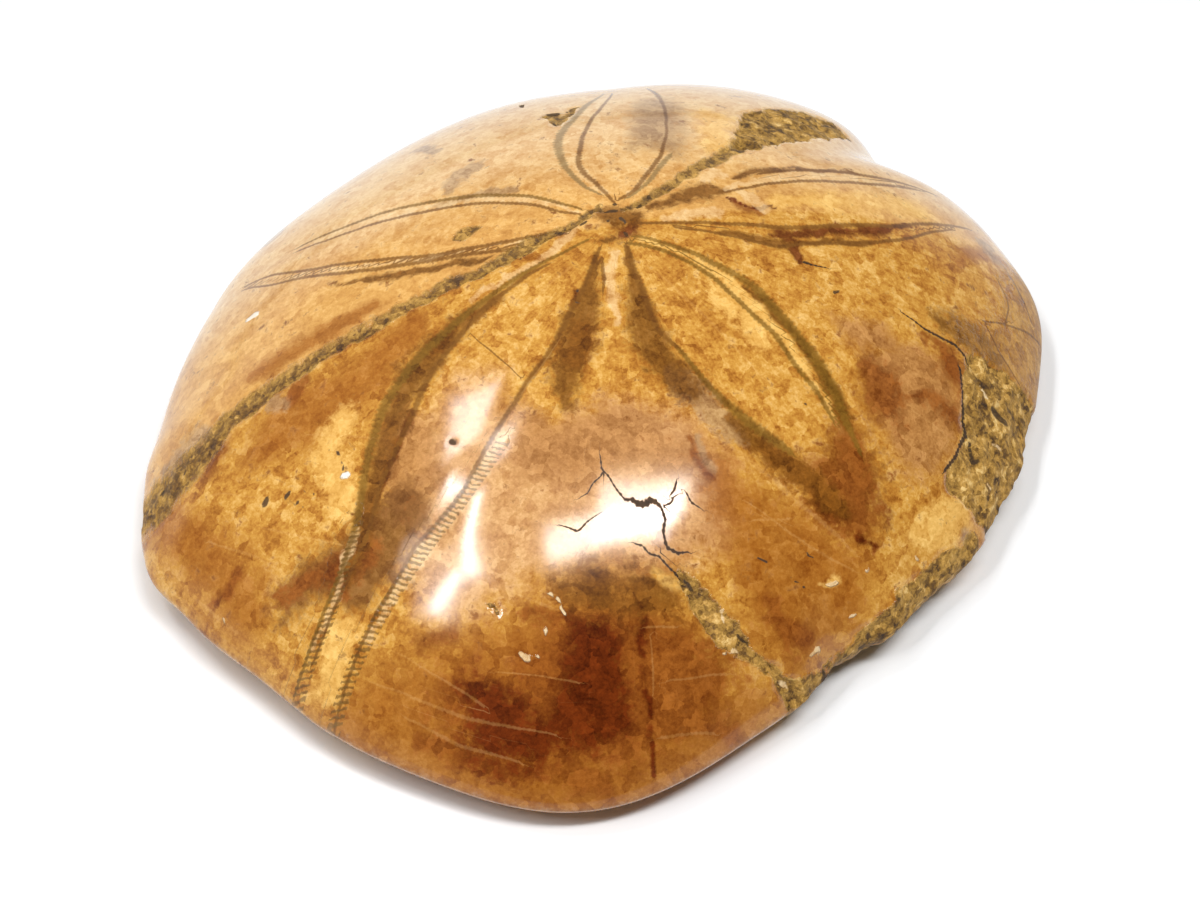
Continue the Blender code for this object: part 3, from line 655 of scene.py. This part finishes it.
# the test is paler left of and behind the seam; toward the far slopes at the back and left it is painted
# paler still, a painted reflection sheen of the white room
uplandEdge = [
    (-50, -22), (-40.4, -18), (-34.4, -14), (-28.4, -11.4), (-25.2, -10), (-20.1, -8.1), (-15.1, -5.9),
    (-10.1, -3.7), (-6, -1.2), (0, 0), (12, 3), (50, 14), (50, 70), (-70, 70), (-70, -22),
]
fields["upland"] = insideField(uplandEdge, wobbles["line"], 0.6)
backward = 1.3 * plan[:, 1] - 0.25 * plan[:, 0] + 3 * noiseAt(points, 9.0, 2, 3.0)
fields["painted far sheen"] = fields["upland"] * smoothstep(-3, 24, backward)
# a rosy band just below the widest line, lower beside the bare rock at the rim
paleBand = {"below": 0.4, "lowerByRock": 1.2, "halfWidth": 0.9, "rockFrom": (-70, -55), "rockTo": (0, -15)}
around = plan + form["apex"]
bearing = np.arctan2(around[:, 1], around[:, 0])
below = np.hypot(*around.T) - ovalRadius(bearing) - swellAt(bearing)
rockSide = smoothstep(*np.radians(paleBand["rockFrom"]), bearing)
rockSide *= smoothstep(*np.radians(paleBand["rockTo"]), bearing)
away = np.abs(below - paleBand["below"] - paleBand["lowerByRock"] * rockSide)
fields["margin"] = np.clip(1 - away / paleBand["halfWidth"], 0, 1)
# grain that runs out along the petals' rays or round the test: lumps round it, and their length outward
grains = {"rays": (42, 9), "growth": (7, 0.6), "strokes": (60, 2.2)}
radius = np.hypot(*plan.T)
east, north = plan.T / radius.clip(0.1)
ways = {name: [east * lumps, north * lumps, radius / length] for name, (lumps, length) in grains.items()}
# painted shade and light on the bare rock: one rubble ramp, its tones shifted darker or lighter by where each
# patch lies, darkest along the lower margin; the seam's rubble is set darker too
paintedRockShade = {"back": -0.01, "rim": 0.01, "break": -0.01, "margin": -0.03}
seamLight = -0.08
fields["paintedRockShade"] = sum(rockShadeLevel * rock[name] for name, rockShadeLevel in paintedRockShade.items())
fields["paintedRockShade"] += seamLight * fields["seam"].clip(0, 0.8)
print("marks:", ", ".join(fields))

# Relief along the outward normal, in millimetres
furrows = [  # one to each pore row, as (east, north) from the apex
    [(1.9, 2.3), (8.3, 4.9), (14.3, 8.8), (20.8, 11.5), (27, 14.3), (33.2, 18.1)],
    [(2.4, -.1), (7.9, -.1), (13.8, .4), (19.9, 2.6), (24.9, 5.3), (29.1, 8.6), (34.3, 13.2)],
    [(.5, 2.9), (2.5, 5.7), (4.1, 9.1), (4.8, 13.5), (4.6, 19.5), (3.9, 26.9)],
    [(-.7, 3), (-3.1, 5.9), (-4.4, 9.5), (-4.3, 13), (-3, 18.4), (-1.1, 24.8), (-.2, 31)],
    [(-3.3, 1.7), (-7.6, 3.6), (-13, 5), (-20.1, 5.8), (-26.2, 6.1), (-33.4, 6.9)],
    [(-3.7, -.4), (-8.1, -1.5), (-14.1, -2), (-20.1, -1.2), (-26.1, .9), (-31.3, 3.1), (-37.5, 6.5)],
    [(-3.5, -2.6), (-7.6, -5.2), (-12.6, -9.2), (-16.7, -13.7), (-19.3, -19.9), (-21.7, -27),
     (-24.2, -32.6), (-28.2, -40)],
    [(-1.5, -3.4), (-3.1, -8), (-6.3, -14.4), (-10.1, -20.5), (-15.4, -28.4), (-19.6, -33.4), (-24, -41)],
    [(.7, -2.5), (1.7, -8), (4.4, -13.6), (8.9, -18.3), (15, -22.7), (22, -28)],
    [(1.1, -2.2), (5.4, -3.4), (9.9, -6.4), (14.4, -11.2), (18.2, -15.6), (22, -20), (26.5, -25.2)],
]
relief = {
    "furrowDepth": 0.06,
    "furrowHalfWidth": 1.5,
    "seamDepth": 0.18,
    "seamGrain": 0.12,
    "rockDepth": {"back": 0.25, "rim": 0.3, "break": 0.5, "margin": 0.1},
    "rockGrain": 0.3,
    "grainSizes": (2.4, 0.9),
    "pitDepth": 0.03,
    "apicalPit": (0.4, -0.7, 1.2, 0.4),  # east, north, radius, depth
    "swell": (0.03, 12.0),  # slow unevenness left by hand polishing: height, width
}


def distanceTo(runs, reach):
    least = np.full(len(plan), 1e3)
    for run in runs:
        run = smoothRun([(*place, 1) for place in run], 1.0)
        near, signed, along, width = toRun(plan, run, reach)
        least[near] = np.minimum(least[near], np.abs(signed))
    return least


height = -relief["furrowDepth"] * np.exp(-((distanceTo(furrows, 5) / relief["furrowHalfWidth"]) ** 2))
height -= relief["seamDepth"] * smoothstep(0.35, 0.65, fields["seam"])
coarse, fine = [noiseAt(points, size, 2, shift) for size, shift in zip(relief["grainSizes"], (11.0, 13.0))]
for name, depth in relief["rockDepth"].items():
    height -= smoothstep(0.2, 0.8, rock[name]) * (depth - relief["rockGrain"] * (coarse + 0.5 * fine))
height += relief["seamGrain"] * smoothstep(0.4, 0.6, fields["seam"]) * fine
height -= relief["pitDepth"] * smoothstep(0.25, 0.75, fields["pit"])
east, north, radius, depth = relief["apicalPit"]
height -= depth * np.exp(-((np.hypot(plan[:, 0] - east, plan[:, 1] - north) / radius) ** 2))
swell, size = relief["swell"]
height += swell * noiseAt(points, size, 2, 17.0)
# none on the rest ring or the tip of the mouth
height *= smoothstep(0, 2.5, points[:, 2]) * (plan[:, 0] < 0.75 * markless[0])
points = points + normals * height[:, None]

# the mesh sits where the solid does: outline centred on the origin
low, high = points.min(axis=0), points.max(axis=0)
middle = np.array([(low[0] + high[0]) / 2, (low[1] + high[1]) / 2, 0])
points -= middle

mesh = bpy.data.meshes.new("fossilSeaUrchin")
mesh.from_pydata((points * mm).tolist(), [], faces)
mesh.shade_smooth()
for name, values in fields.items():
    attribute = mesh.attributes.new(name, "FLOAT", "POINT")
    attribute.data.foreach_set("value", values.astype(np.float32))
for name, values in ways.items():
    attribute = mesh.attributes.new(name, "FLOAT_VECTOR", "POINT")
    attribute.data.foreach_set("vector", np.array(values, np.float32).T.ravel())

# A map for baking: the crown and margin as one disc, the base as a smaller one, both keeping true distances
section = np.concatenate([[points[0]], [points[run[0]] for run in numbers], [points[-1]]])
walked = np.concatenate([[0], np.cumsum(np.linalg.norm(np.diff(section, axis=0), axis=1))])
baseRing = next(i for i, run in enumerate(numbers) if points[run[0], 2] < 1e-6)
rimWalk, allWalk = walked[baseRing + 1], walked[-1]
bearings = np.concatenate([[0], *[bearingsOf(len(run)) for run in numbers], [0]])
steps = np.concatenate([[0], *[np.full(len(run), walked[i + 1]) for i, run in enumerate(numbers)], [allWalk]])
around = np.array([np.cos(bearings), np.sin(bearings)]).T
discs = {"crown": (0.37, 0.355), "base": (0.79, 0.2)}  # middle, radius
middleAt, mapRadius = discs["crown"]
upperMap = middleAt + mapRadius * (steps / rimWalk)[:, None] * around
middleAt, mapRadius = discs["base"]
lowerMap = middleAt + mapRadius * ((allWalk - steps) / (allWalk - rimWalk))[:, None] * around * [-1, 1]
corner = np.zeros(len(mesh.loops), int)
mesh.loops.foreach_get("vertex_index", corner)
firstBase = starts[baseRing + 1]
isBase = np.repeat([max(face) >= firstBase for face in faces], [len(face) for face in faces])
bakeMap = mesh.uv_layers.new(name="OFBake")
bakeMap.uv.foreach_set("vector", np.where(isBase[:, None], lowerMap[corner], upperMap[corner]).ravel())

urchin = bpy.data.objects.new("fossilSeaUrchin", mesh)
bpy.context.scene.collection.objects.link(urchin)

# Polished calcite: deep, glassy amber with clouded swirls and small cleavage flakes,
# dull where rock fills the cracks
calcite = {
    "amber": [(0.39, "#8c5218"), (0.455, "#b2762c"), (0.52, "#cc9540"), (0.61, "#eabd70")],
    "rock": [(0.34, "#241605"), (0.415, "#62430f"), (0.49, "#98722c"), (0.565, "#bf9244"), (0.66, "#ecc880")],
    "polish": 0.115,
    "unpolished": 0.75,
    "glass": 1.45,
    "bump": 0.4,  # rise of the rough rock's crumbs, in millimetres
}
material = bpy.data.materials.new("polished calcite")
material.use_nodes = True
tree = material.node_tree
shader = tree.nodes["Principled BSDF"]
place = addNode(tree, "TexCoord").outputs["Object"]
noises = {}
for name, settings in {  # each scale is 1000 over the lumps' width in millimetres
    "cloud": {"Scale": 1000 / 6, "Detail": 3, "Distortion": 0.6},
    "swirl": {"Scale": 1000 / 1.9, "Detail": 4, "Roughness": 0.65, "Distortion": 0.7},
    "chunk": {"Scale": 1000 / 0.9, "Detail": 3, "Roughness": 0.75, "Distortion": 0.3},
    "grain": {"Scale": 1000 / 0.32, "Detail": 2, "Roughness": 0.7},
}.items():
    noises[name] = addNode(tree, "TexNoise", settings, {"Vector": place}).outputs["Fac"]
directions = {}
for name in ways:
    directions[name] = addNode(tree, "Attribute", {"attribute_name": name}).outputs["Vector"]
for name in ("rays", "growth"):
    settings = {"Scale": 1, "Detail": 3, "Roughness": 0.6, "Distortion": 0.3}
    noises[name] = addNode(tree, "TexNoise", settings, {"Vector": directions[name]}).outputs["Fac"]
# torn cells, each of one tone: size and tear
for name, start, size, tear in (
    ("flakes", place, 1.0 * mm, 1.4 * mm),
    ("crumbs", place, 0.5 * mm, 0.6 * mm),
    ("strokes", directions["strokes"], 1, 1.2),
):
    pull = addNode(tree, "TexNoise", {"Scale": 0.8 / size, "Detail": 3}, {"Vector": start}).outputs["Color"]
    settings = {"operation": "MULTIPLY_ADD", 1: (tear,) * 3}
    torn = addNode(tree, "VectorMath", settings, {0: pull, 2: start}).outputs[0]
    cells = addNode(tree, "TexVoronoi", {"Scale": 1 / size}, {"Vector": torn}).outputs["Color"]
    noises[name] = addNode(tree, "SeparateColor", links={"Color": cells}).outputs["Red"]


def blend(shares, extra=None):
    # a weighted sum of the noises
    total = extra
    for name, share in shares.items():
        added = addNode(tree, "Math", {"operation": "MULTIPLY_ADD", 1: share, 2: 0}, {0: noises[name]})
        if total:
            tree.links.new(total, added.inputs[2])
        total = added.outputs[0]
    return total


def toneRamp(value, tones):
    ramp = addNode(tree, "ValToRGB", links={"Fac": value})
    for i, (spot, tone) in enumerate(tones):
        stop = ramp.color_ramp.elements[i] if i < 2 else ramp.color_ramp.elements.new(spot)
        stop.position = spot
        stop.color = linear(tone)
    return ramp.outputs["Color"]


depth = blend({
    "cloud": 0.16, "swirl": 0.22, "chunk": 0.22, "grain": 0.16, "rays": 0.05, "growth": 0.08, "flakes": 0.08,
    "strokes": 0.03,
})
colour = toneRamp(depth, calcite["amber"])
# the rubble tones, shifted by the painted rock shade
rockShadeLevel = addNode(tree, "Attribute", {"attribute_name": "paintedRockShade"}).outputs["Fac"]
rubble = blend({"swirl": 0.35, "chunk": 0.35, "grain": 0.1, "flakes": 0.08, "crumbs": 0.12}, rockShadeLevel)
rubble = toneRamp(rubble, calcite["rock"])

# field, dark and light tone, where its edge runs from nothing to full, raggedness, strength
layers = [
    ("upland", "#cc944c", "#ebba74", (0.1, 0.9), 0.6, 0.6),
    # painted reflection sheen on the far slopes
    ("painted far sheen", "#d09e60", "#efcf9a", (0.05, 0.95), 1.0, 0.9),
    # partly painted reflection haze round the main highlight
    ("tint and painted haze", "#b07e50", "#e0b088", (0.1, 0.9), 1.5, 0.55),
    ("rose", "#8a582a", "#c88f54", (0.15, 0.85), 1.8, 0.85),
    ("orange", "#844610", "#b06c24", (0.15, 0.85), 2.5, 0.8),
    ("golden", "#d69c42", "#f8cc78", (0.2, 0.8), 2.0, 0.75),
    ("mauve", "#775638", "#c09a6e", (0.25, 0.75), 2.2, 0.7),
    ("stain", "#8c6844", "#c09a6a", (0.1, 0.9), 1.6, 0.85),
    ("dusk", "#532d0e", "#8c5a2a", (0.15, 0.8), 2.4, 0.85),
    ("sienna", "#5e2606", "#a05a1e", (0.15, 0.85), 2.6, 0.82),
    ("rust", "#3a0e01", "#742a08", (0.15, 0.8), 2.6, 0.88),
    ("umber", "#401f04", "#8c571a", (0.15, 0.8), 2.4, 0.88),
    ("olive rim", "#6e4a12", "#bc8632", (0.15, 0.85), 3.0, 0.5),
    ("cream", "#d2a060", "#f2d3a0", (0.3, 0.75), 1.8, 0.6),
    ("grey", "#75603c", "#927648", (0.2, 0.75), 0.8, 0.75),
    ("olive", "#5e4012", "#8a6422", (0.2, 0.75), 0.9, 0.8),
    ("brown", "#5e3714", "#84571f", (0.2, 0.75), 0.8, 0.8),
    ("pale", "#cf9548", "#e6ba7a", (0.25, 0.8), 0.8, 0.16),
    ("ticks", "#553a14", "#80602e", (0.25, 0.8), 1.6, 0.72),
    ("seam", None, None, (0.28, 0.62), 2.4, 0.85),
    ("rock", None, None, (0.34, 0.62), 2.6, 0.95),
    ("margin", "#8d6440", "#d2ac8a", (0.35, 0.8), 1.5, 0.45),
    ("crack", "#1c0f04", "#3e2408", (0.3, 0.7), 1.2, 0.95),
    ("chips", "#cfa468", "#f3deb4", (0.4, 0.65), 1.1, 0.85),
    ("white flecks", "#f0e4d0", "#fffaf0", (0.4, 0.65), 0.9, 0.95),
    ("pit", "#241505", "#4a3110", (0.4, 0.65), 1.1, 0.9),
]
drawnLines = set(lines)
keptIn = {"olive rim", "seam", "rock", "chips", "white flecks", "pit"}  # their specks stay inside their edges
# what tears the edges of the marks, centred on 0
both = addNode(tree, "Math", {"operation": "ADD"}, {0: noises["swirl"], 1: noises["chunk"]}).outputs[0]
wisp = addNode(tree, "Math", {"operation": "MULTIPLY_ADD", 1: 0.5, 2: -0.5}, {0: both}).outputs[0]
mottle = blend({
    "cloud": 0.12, "swirl": 0.16, "chunk": 0.3, "grain": 0.22, "rays": 0.04, "growth": 0.04, "flakes": 0.12,
})
speck = addNode(tree, "MapRange", {"From Min": 0.38, "From Max": 0.62}, {"Value": mottle}).outputs[0]
# pore pairs cross the lines, so their edges are toothed
turnsPerMm = 2 * math.pi / porePitch
along = addNode(tree, "Attribute", {"attribute_name": "teeth"}).outputs["Fac"]
turns = addNode(tree, "Math", {"operation": "MULTIPLY", 1: turnsPerMm}, {0: along}).outputs[0]
tooth = addNode(tree, "Math", {"operation": "SINE"}, {0: turns}).outputs[0]
jag = addNode(tree, "Math", {"operation": "SUBTRACT", 1: 0.5}, {0: noises["grain"]}).outputs[0]
jag = addNode(tree, "Math", {"operation": "MULTIPLY_ADD", 1: 0.1}, {0: tooth, 2: jag}).outputs[0]
masks = {}
for name, dark, light, (low, high), raggedness, strength in layers:
    if name == "ticks":
        along = addNode(tree, "Attribute", {"attribute_name": "tickAlong"}).outputs["Fac"]
        turns = addNode(tree, "Math", {"operation": "MULTIPLY", 1: turnsPerMm}, {0: along}).outputs[0]
        settings = {"operation": "MULTIPLY_ADD", 1: 9}  # the bars waver
        waver = addNode(tree, "Math", settings, {0: noises["chunk"], 2: turns}).outputs[0]
        wave = addNode(tree, "Math", {"operation": "SINE"}, {0: waver}).outputs[0]
        across = addNode(tree, "Attribute", {"attribute_name": "tickAcross"}).outputs["Fac"]
        beside = addNode(tree, "Math", {"operation": "ABSOLUTE"}, {0: across}).outputs[0]
        inside = addNode(tree, "Math", {"operation": "LESS_THAN", 1: 0.95}, {0: beside}).outputs[0]
        settings = {"operation": "MULTIPLY_ADD", 1: 0.5, 2: 0.46}  # as wide as the gaps between them
        bar = addNode(tree, "Math", settings, {0: wave}).outputs[0]
        field = addNode(tree, "Math", {"operation": "MULTIPLY"}, {0: bar, 1: inside}).outputs[0]
    else:
        field = addNode(tree, "Attribute", {"attribute_name": name}).outputs["Fac"]
    if name in drawnLines:
        beside = addNode(tree, "Math", {"operation": "ABSOLUTE"}, {0: field}).outputs[0]
        settings = {"operation": "MULTIPLY_ADD", 1: -0.42, 2: 1}  # 1 along its middle, falling outward
        field = addNode(tree, "Math", settings, {0: beside}).outputs[0]
    settings = {"operation": "MULTIPLY_ADD", 1: raggedness}
    edge = jag if name in drawnLines else wisp
    if name in keptIn:
        edge = addNode(tree, "Math", {"operation": "MULTIPLY"}, {0: edge, 1: field}).outputs[0]
    ragged = addNode(tree, "Math", settings, {0: edge, 2: field}).outputs[0]
    settings = {"interpolation_type": "SMOOTHSTEP", "From Min": low, "From Max": high, "To Max": strength}
    masks[name] = addNode(tree, "MapRange", settings, {"Value": ragged}).outputs[0]
    if dark:
        settings = {"data_type": "RGBA", 6: linear(dark), 7: linear(light)}
        tone = addNode(tree, "Mix", settings, {0: speck}).outputs[2]
    else:
        tone = rubble
    settings = {"data_type": "RGBA"}
    colour = addNode(tree, "Mix", settings, {0: masks[name], 6: colour, 7: tone}).outputs[2]
tree.links.new(colour, shader.inputs["Base Color"])

# dull where the polish never took, and crumbly there too, but for cracks and pits
dull = masks["olive rim"]
for name in ("seam", "rock", "chips", "white flecks", "crack", "pit"):
    if name == "crack":
        crumbly = addNode(tree, "Math", {"operation": "MULTIPLY"}, {0: dull, 1: noises["chunk"]}).outputs[0]
    dull = addNode(tree, "Math", {"operation": "MAXIMUM"}, {0: dull, 1: masks[name]}).outputs[0]
settings = {"To Min": calcite["polish"], "To Max": calcite["unpolished"]}
roughness = addNode(tree, "MapRange", settings, {"Value": dull}).outputs[0]
tree.links.new(roughness, shader.inputs["Roughness"])
settings = {"operation": "MULTIPLY_ADD", 1: -0.05}  # the ticks are faintly scored
scored = addNode(tree, "Math", settings, {0: masks["ticks"], 2: crumbly}).outputs[0]
bumps = addNode(tree, "Bump", {"Strength": 0.7, "Distance": calcite["bump"] * mm}, {"Height": scored})
tree.links.new(bumps.outputs["Normal"], shader.inputs["Normal"])
shader.inputs["IOR"].default_value = calcite["glass"]
mesh.materials.append(material)

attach(urchin, "root")
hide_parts("fossil_sea_urchin")
print("piece:", len(mesh.polygons), "faces")

camera = bpy.data.objects.new("camera", bpy.data.cameras.new("camera"))
bpy.context.scene.collection.objects.link(camera)
bpy.context.scene.camera = camera
view = {"elevation": 50, "distance": 220, "target": (-0.3, -10.85, 10), "lens": 75.42}
elevation = math.radians(view["elevation"])
target = Vector(view["target"]) - Vector(middle)
camera.location = (target + view["distance"] * Vector((0, -math.cos(elevation), math.sin(elevation)))) * mm
camera.rotation_euler = (math.pi / 2 - elevation, 0, 0)
camera.data.lens = view["lens"]
camera.data.sensor_width = 36
camera.data.clip_start = 0.01

lamps = {
    # two boxes almost overhead: their joined image lies across the front of the dome
    "overheadBox": {"direction": (0.16, -0.2, 0.955), "turn": 8, "size": (350, 54), "watts": 1.6},
    "overheadLamp": {"direction": (0.25, -0.172, 0.96), "turn": -4, "size": (210, 100), "watts": 1.3},
    # to the left, a squarer one further back, a narrow strip that bends at its near end, and a dim screen
    "sideBlock": {"direction": (-0.335, 0.15, 0.93), "turn": 0, "size": (105, 130), "watts": 0.7},
    "sideStrip": {"direction": (-0.345, -0.185, 0.92), "turn": 1, "size": (22, 165), "watts": 0.6},
    "stripEnd": {"direction": (-0.413, -0.35, 0.83), "turn": -42, "size": (18, 95), "watts": 0.28},
    "sideScreen": {"direction": (-0.46, -0.31, 0.83), "turn": 0, "size": (90, 150), "watts": 0.22},
}
aim = Vector((-4, -26, 14))  # where on the dome their images lie
lampDistance = 600
for name, lamp in lamps.items():
    light = bpy.data.lights.new(name, "AREA")
    light.shape = "RECTANGLE"
    light.size, light.size_y = [s * mm for s in lamp["size"]]
    light.energy = lamp["watts"]
    lightObject = bpy.data.objects.new(name, light)
    bpy.context.scene.collection.objects.link(lightObject)
    outward = Vector(lamp["direction"]).normalized()
    turn = math.radians(lamp["turn"])
    sideways = Vector((math.cos(turn), math.sin(turn), 0))
    sideways = (sideways - outward * sideways.dot(outward)).normalized()
    upward = outward.cross(sideways)
    axes = Matrix((sideways, upward, outward)).transposed()
    lightObject.matrix_world = Matrix.Translation(aim * mm + outward * lampDistance * mm) @ axes.to_4x4()

# a white room: bright low down, where its card sweeps up, dimmer overhead, darker on the right and in front
whiteRoom = {
    "lowDown": 0.85, "overhead": 0.24,
    "window": (-0.75, 0.66, 0), "windowSide": 1.1, "shadySide": 0.2,
}
room = bpy.data.worlds.new("white room")
bpy.context.scene.world = room
room.use_nodes = True
sky = room.node_tree
lookingAt = addNode(sky, "TexCoord").outputs["Generated"]
upward = addNode(sky, "SeparateXYZ", links={"Vector": lookingAt}).outputs["Z"]
settings = {"interpolation_type": "SMOOTHSTEP", "From Min": 0.12, "From Max": 0.32}
settings.update({"To Min": whiteRoom["lowDown"], "To Max": whiteRoom["overhead"]})
glow = addNode(sky, "MapRange", settings, {"Value": upward}).outputs[0]
settings = {"operation": "DOT_PRODUCT", 1: whiteRoom["window"]}
toWindow = addNode(sky, "VectorMath", settings, {0: lookingAt}).outputs["Value"]
settings = {"interpolation_type": "SMOOTHSTEP", "From Min": -0.6, "From Max": 0.7}
settings.update({"To Min": whiteRoom["shadySide"], "To Max": whiteRoom["windowSide"]})
share = addNode(sky, "MapRange", settings, {"Value": toWindow}).outputs[0]
glow = addNode(sky, "Math", {"operation": "MULTIPLY"}, {0: glow, 1: share}).outputs[0]
sky.links.new(glow, sky.nodes["Background"].inputs["Strength"])
sky.nodes["Background"].inputs["Color"].default_value = linear("#ffffff")

floorMesh = bpy.data.meshes.new("floor")
reach = 3.0
corners = [(-reach, -reach, 0), (reach, -reach, 0), (reach, reach, 0), (-reach, reach, 0)]
floorMesh.from_pydata(corners, [], [(0, 1, 2, 3)])
floor = bpy.data.objects.new("floor", floorMesh)
bpy.context.scene.collection.objects.link(floor)
card = bpy.data.materials.new("white card")
card.use_nodes = True
card.node_tree.nodes["Principled BSDF"].inputs["Base Color"].default_value = linear("#eff1f3")
card.node_tree.nodes["Principled BSDF"].inputs["Roughness"].default_value = 0.6
floorMesh.materials.append(card)

bpy.context.scene.view_settings.view_transform = "Standard"
print("studio: done")
